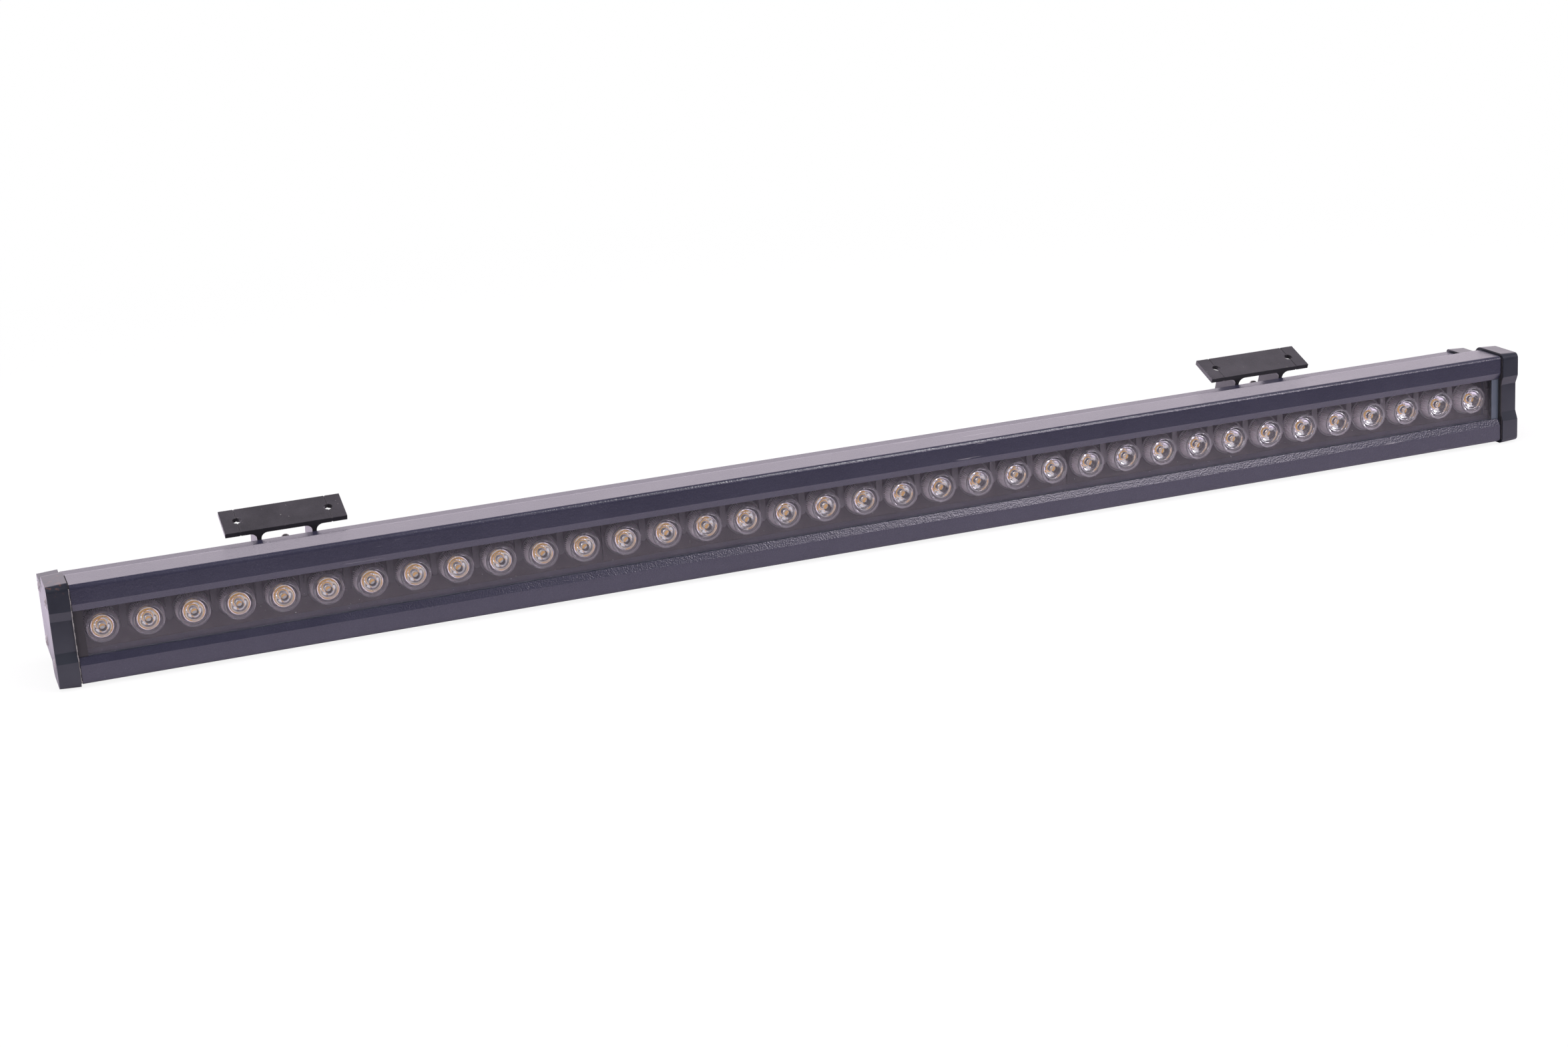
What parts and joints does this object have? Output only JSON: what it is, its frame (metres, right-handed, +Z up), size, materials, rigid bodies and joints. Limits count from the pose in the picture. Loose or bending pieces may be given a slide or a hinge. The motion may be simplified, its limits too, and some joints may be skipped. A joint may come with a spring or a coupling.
{
  "type": "outdoor wall washer light",
  "caption": "Slim linear outdoor wall washer: stepped extruded housing, lensed LED row behind glass, end caps, and two tilting brackets that slide along a rear channel.",
  "frame": {"origin": "middle of the mouth of the mounting channel, on the flat rear face of the housing", "axes": "+X along the lamp to the end with the cable gland, -Y the way the lamp shines, +Z up, out of the head's long side"},
  "size_m": [1.0173, 0.1035, 0.0691],
  "materials": {
    "powder_coat": "fine textured powder coat",
    "bracket_coat": "black anodised, satin",
    "saddle_coat": "black anodised, satin",
    "cap_coat": "powder coat on a die casting",
    "cover_glass": "clear tempered",
    "silicone": "matt",
    "gasket": "matt",
    "board": "black solder mask",
    "driver_green": "solder mask",
    "phosphor": "silicone dome",
    "lens_clear": "polished",
    "holder_grey": "moulded, slightly see-through",
    "stainless": "turned",
    "component": "moulded",
    "gland_plastic": "moulded nylon"
  },
  "bodies": {
    "lamp": {"housing": "powder_coat", "glass_cover": "cover_glass", "glass_seal_top": "silicone", "glass_seal_bottom": "silicone", "glass_end_seal_left": "silicone", "glass_end_seal_right": "silicone", "led_board_1": "board", "led_board_2": "board", "led_board_3": "board", "led_emitters_1": "phosphor", "led_emitters_2": "phosphor", "led_emitters_3": "phosphor", "lens_holders_1": "holder_grey", "lens_holders_2": "holder_grey", "lens_holders_3": "holder_grey", "lenses_1": "lens_clear", "lenses_2": "lens_clear", "lenses_3": "lens_clear", "driver_standoffs": "stainless", "driver_board": "driver_green", "driver_transformer": "component", "driver_capacitors": "component", "driver_choke": "component", "terminal_block": "component", "lead_grommet": "gasket", "led_leads": "component", "end_cap_left": "cap_coat", "end_cap_right": "cap_coat", "end_seal_left": "gasket", "end_seal_right": "gasket", "cap_screws_left": "stainless", "cap_screws_right": "stainless", "gland_body": "gland_plastic", "gland_nut": "gland_plastic", "gland_seal": "gasket", "gland_locknut": "gland_plastic"},
    "saddle_left": {"saddle_left": "saddle_coat", "pivot_bolt_left": "stainless", "pivot_nut_left": "stainless", "pivot_washers_left": "stainless", "channel_bolts_left": "stainless", "channel_nuts_left": "stainless", "pinch_screw_left": "stainless", "dome_nut_left": "stainless"},
    "bracket_left": {"bracket_left": "bracket_coat"},
    "saddle_right": {"saddle_right": "saddle_coat", "pivot_bolt_right": "stainless", "pivot_nut_right": "stainless", "pivot_washers_right": "stainless", "channel_bolts_right": "stainless", "channel_nuts_right": "stainless", "pinch_screw_right": "stainless", "dome_nut_right": "stainless"},
    "bracket_right": {"bracket_right": "bracket_coat"}
  },
  "joints": [
    {"name": "saddle_left_slide", "type": "slide", "parent": "lamp", "child": "saddle_left", "axis": [1, 0, 0], "range_m": [-0.108, 0.302]},
    {"name": "bracket_left_tilt", "type": "hinge", "parent": "saddle_left", "child": "bracket_left", "pos_m": [-0.3479, 0.024, 0], "axis": [-1, 0, 0], "range_deg": [-4, 225]},
    {"name": "saddle_right_slide", "type": "slide", "parent": "lamp", "child": "saddle_right", "axis": [1, 0, 0], "range_m": [-0.29, 0.12]},
    {"name": "bracket_right_tilt", "type": "hinge", "parent": "saddle_right", "child": "bracket_right", "pos_m": [0.3353, 0.024, 0], "axis": [-1, 0, 0], "range_deg": [-4, 225]}
  ]
}
